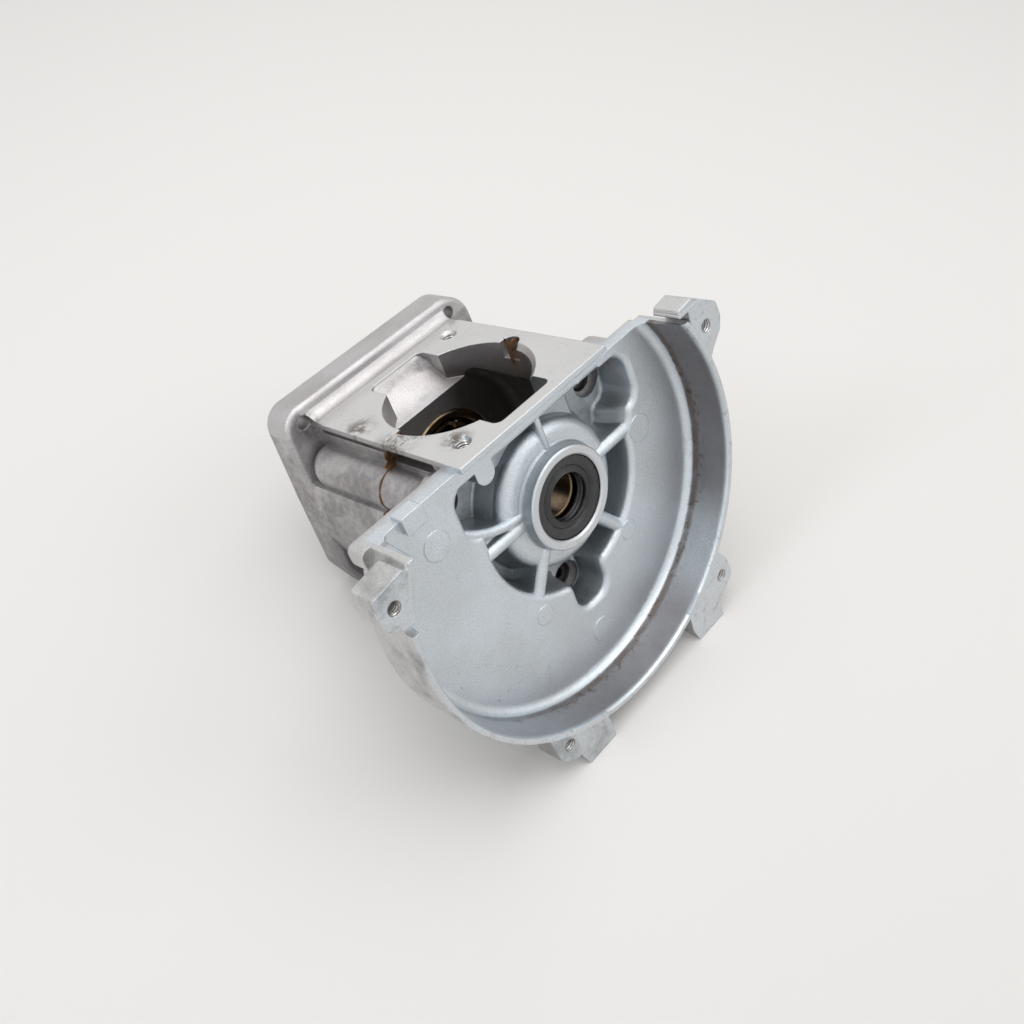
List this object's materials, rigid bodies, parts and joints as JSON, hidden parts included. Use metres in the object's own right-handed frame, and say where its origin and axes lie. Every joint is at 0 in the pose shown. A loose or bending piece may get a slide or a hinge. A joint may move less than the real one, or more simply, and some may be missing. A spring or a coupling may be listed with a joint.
{
  "type": "engine crankcase",
  "caption": "Split crankcase of a small two-stroke engine with a bowl-shaped fan shroud, square cylinder seat, hollow starter flange and sealed crank bearings.",
  "frame": {"origin": "on the crank axis, in the plane of the fan-side seal boss's face", "axes": "+Y along the crank from the fan side to the starter side, +Z along the cylinder axis, away from the crank, +X to the right seen from the fan side"},
  "size_m": [0.1647, 0.111, 0.1302],
  "materials": {
    "cast_alloy": "satin",
    "gasket_paper": "matte",
    "seal_rubber": "satin",
    "spring_steel": "satin",
    "bearing_steel": "polished",
    "cage_steel": "satin",
    "fastener_steel": "satin"
  },
  "bodies": {
    "crankcase": {"fan_side_case": "cast_alloy", "starter_side_case": "cast_alloy", "case_gasket": "gasket_paper", "front_seal": "seal_rubber", "rear_seal": "seal_rubber", "front_seal_spring": "spring_steel", "rear_seal_spring": "spring_steel", "front_outer_ring": "bearing_steel", "rear_outer_ring": "bearing_steel", "dowel_left": "fastener_steel", "dowel_right": "fastener_steel", "case_screw_left": "fastener_steel", "case_screw_right": "fastener_steel", "case_screw_low": "fastener_steel"},
    "fan_side_inner_race": {"front_inner_ring": "bearing_steel"},
    "starter_side_inner_race": {"rear_inner_ring": "bearing_steel"},
    "fan_side_ball_set": {"front_cage": "cage_steel", "front_balls": "bearing_steel"},
    "starter_side_ball_set": {"rear_cage": "cage_steel", "rear_balls": "bearing_steel"}
  },
  "joints": [
    {"name": "fan_side_race_spin", "type": "hinge", "parent": "crankcase", "child": "fan_side_inner_race", "pos_m": [0, 0.0145, 0], "axis": [0, 1, 0], "continuous": true},
    {"name": "starter_side_race_spin", "type": "hinge", "parent": "crankcase", "child": "starter_side_inner_race", "pos_m": [0, 0.0665, 0], "axis": [0, 1, 0], "continuous": true},
    {"name": "fan_side_ball_set_spin", "type": "hinge", "parent": "crankcase", "child": "fan_side_ball_set", "pos_m": [0, 0.0145, 0], "axis": [0, 1, 0], "continuous": true},
    {"name": "starter_side_ball_set_spin", "type": "hinge", "parent": "crankcase", "child": "starter_side_ball_set", "pos_m": [0, 0.0665, 0], "axis": [0, 1, 0], "continuous": true}
  ],
  "couplings": [
    {"joint": "fan_side_ball_set_spin", "follows": "fan_side_race_spin", "ratio": 0.38158},
    {"joint": "starter_side_ball_set_spin", "follows": "starter_side_race_spin", "ratio": 0.38158}
  ]
}
